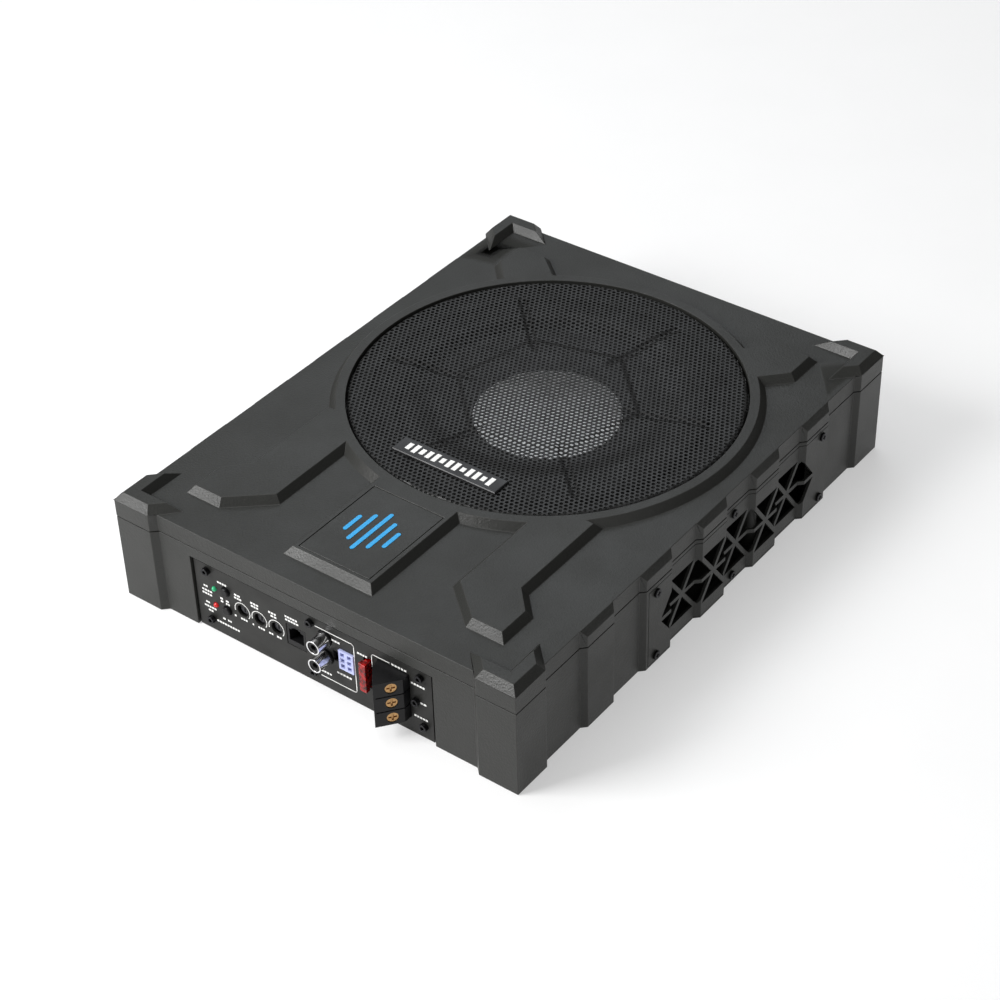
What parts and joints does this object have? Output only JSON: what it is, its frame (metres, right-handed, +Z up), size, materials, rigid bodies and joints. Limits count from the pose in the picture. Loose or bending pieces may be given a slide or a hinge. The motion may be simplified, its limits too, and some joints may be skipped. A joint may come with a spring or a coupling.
{
  "type": "powered car subwoofer",
  "caption": "Flat powered under-seat subwoofer: ribbed two-part housing, round perforated grille over a shallow driver, control panel and side vents.",
  "frame": {"origin": "centre of the flat underside of the housing", "axes": "+Z up through the grille, +Y from the control panel to the back, +X along the control panel"},
  "size_m": [0.2646, 0.3566, 0.0692],
  "materials": {
    "shell": "moulded grain, dark grey",
    "gasket": "closed-cell foam strip",
    "mark": "blue printed mark",
    "black_steel": "satin black powder coat",
    "panel_steel": "satin dark grey powder coat",
    "black_screw": "black oxide",
    "brass": "plain",
    "nickel": "nickel plate",
    "zinc": "zinc plated steel",
    "ferrite": "sintered ferrite",
    "surround_rubber": "moulded rubber",
    "damper_cloth": "resin-stiffened cotton",
    "cone_pulp": "coated pulp, black",
    "cap_aluminium": "circular brushed",
    "former": "polyimide film",
    "copper": "enamelled copper wire",
    "black_plastic": "moulded",
    "badge": "satin badge plate",
    "led_green": "translucent lens",
    "led_red": "translucent lens",
    "knob": "moulded",
    "nylon": "natural nylon",
    "fuse_red": "translucent red",
    "board": "green solder mask",
    "cap_sleeve": "shrink sleeve",
    "sink": "extruded",
    "lead_wire": "wire insulation"
  },
  "bodies": {
    "housing": {"lower_shell": "shell", "lid": "shell", "lid_gasket": "gasket", "emblem_plate": "shell", "emblem_mark": "mark", "vent_grille_right": "shell", "vent_grille_left": "shell", "vent_screws": "black_screw", "housing_screws": "black_screw", "bracket_inserts": "brass", "grille": "black_steel", "grille_badge": "badge", "partition": "black_plastic", "driver_basket": "black_steel", "basket_gasket": "gasket", "surround": "surround_rubber", "damper": "damper_cloth", "top_plate": "zinc", "magnet": "ferrite", "yoke": "zinc", "driver_screws": "black_screw", "driver_terminals": "brass", "speaker_leads": "lead_wire", "control_panel": "panel_steel", "panel_screws": "black_screw", "led_green": "led_green", "led_red": "led_red", "switch_bodies": "black_plastic", "pot_bodies": "black_plastic", "remote_socket": "shell", "rca_block": "black_plastic", "rca_shells": "nickel", "rca_contacts": "black_plastic", "high_level_socket": "nylon", "high_level_contacts": "brass", "fuse_holder": "black_plastic", "terminal_block": "black_plastic", "terminal_cages": "brass", "circuit_board": "board", "capacitors": "cap_sleeve", "inductors": "copper", "heat_sink": "sink", "transistors": "black_plastic"},
    "moving_coil": {"cone": "cone_pulp", "dust_cap": "cap_aluminium", "coil_former": "former", "voice_coil": "copper"},
    "phase_button": {"phase_button": "black_plastic"},
    "turn_on_button": {"turn_on_button": "black_plastic"},
    "lowpass_knob": {"lowpass_knob": "knob"},
    "bass_knob": {"bass_knob": "knob"},
    "gain_knob": {"gain_knob": "knob"},
    "fuse": {"fuse_body": "fuse_red", "fuse_blades": "zinc"},
    "terminal_screw_top": {"terminal_screw_top": "brass"},
    "terminal_screw_middle": {"terminal_screw_middle": "brass"},
    "terminal_screw_bottom": {"terminal_screw_bottom": "brass"}
  },
  "joints": [
    {"name": "cone_travel", "type": "slide", "parent": "housing", "child": "moving_coil", "axis": [0, 0, 1], "range_m": [-0.005, 0.005], "stiffness_N_per_m": 2500, "deforming": ["surround", "damper"]},
    {"name": "phase_button_press", "type": "slide", "parent": "housing", "child": "phase_button", "axis": [0, 1, 0], "range_m": [0, 0.0018], "stiffness_N_per_m": 300},
    {"name": "turn_on_button_press", "type": "slide", "parent": "housing", "child": "turn_on_button", "axis": [0, 1, 0], "range_m": [0, 0.0018], "stiffness_N_per_m": 300},
    {"name": "lowpass_turn", "type": "hinge", "parent": "housing", "child": "lowpass_knob", "pos_m": [-0.05, -0.1661, 0.0241], "axis": [0, -1, 0], "range_deg": [-150, 150]},
    {"name": "bass_turn", "type": "hinge", "parent": "housing", "child": "bass_knob", "pos_m": [-0.0383, -0.1661, 0.0241], "axis": [0, -1, 0], "range_deg": [-150, 150]},
    {"name": "gain_turn", "type": "hinge", "parent": "housing", "child": "gain_knob", "pos_m": [-0.0266, -0.1661, 0.0241], "axis": [0, -1, 0], "range_deg": [-150, 150]},
    {"name": "fuse_pull", "type": "slide", "parent": "housing", "child": "fuse", "axis": [0, -1, 0], "range_m": [0, 0.014]},
    {"name": "terminal_top_turn", "type": "hinge", "parent": "housing", "child": "terminal_screw_top", "pos_m": [0.0572, -0.17684, 0.0339], "axis": [0.7865, -0.6175, 0], "range_deg": [0, 1080]},
    {"name": "terminal_middle_turn", "type": "hinge", "parent": "housing", "child": "terminal_screw_middle", "pos_m": [0.0572, -0.17684, 0.0242], "axis": [0.7865, -0.6175, 0], "range_deg": [0, 1080]},
    {"name": "terminal_bottom_turn", "type": "hinge", "parent": "housing", "child": "terminal_screw_bottom", "pos_m": [0.0572, -0.17684, 0.0145], "axis": [0.7865, -0.6175, 0], "range_deg": [0, 1080]}
  ]
}
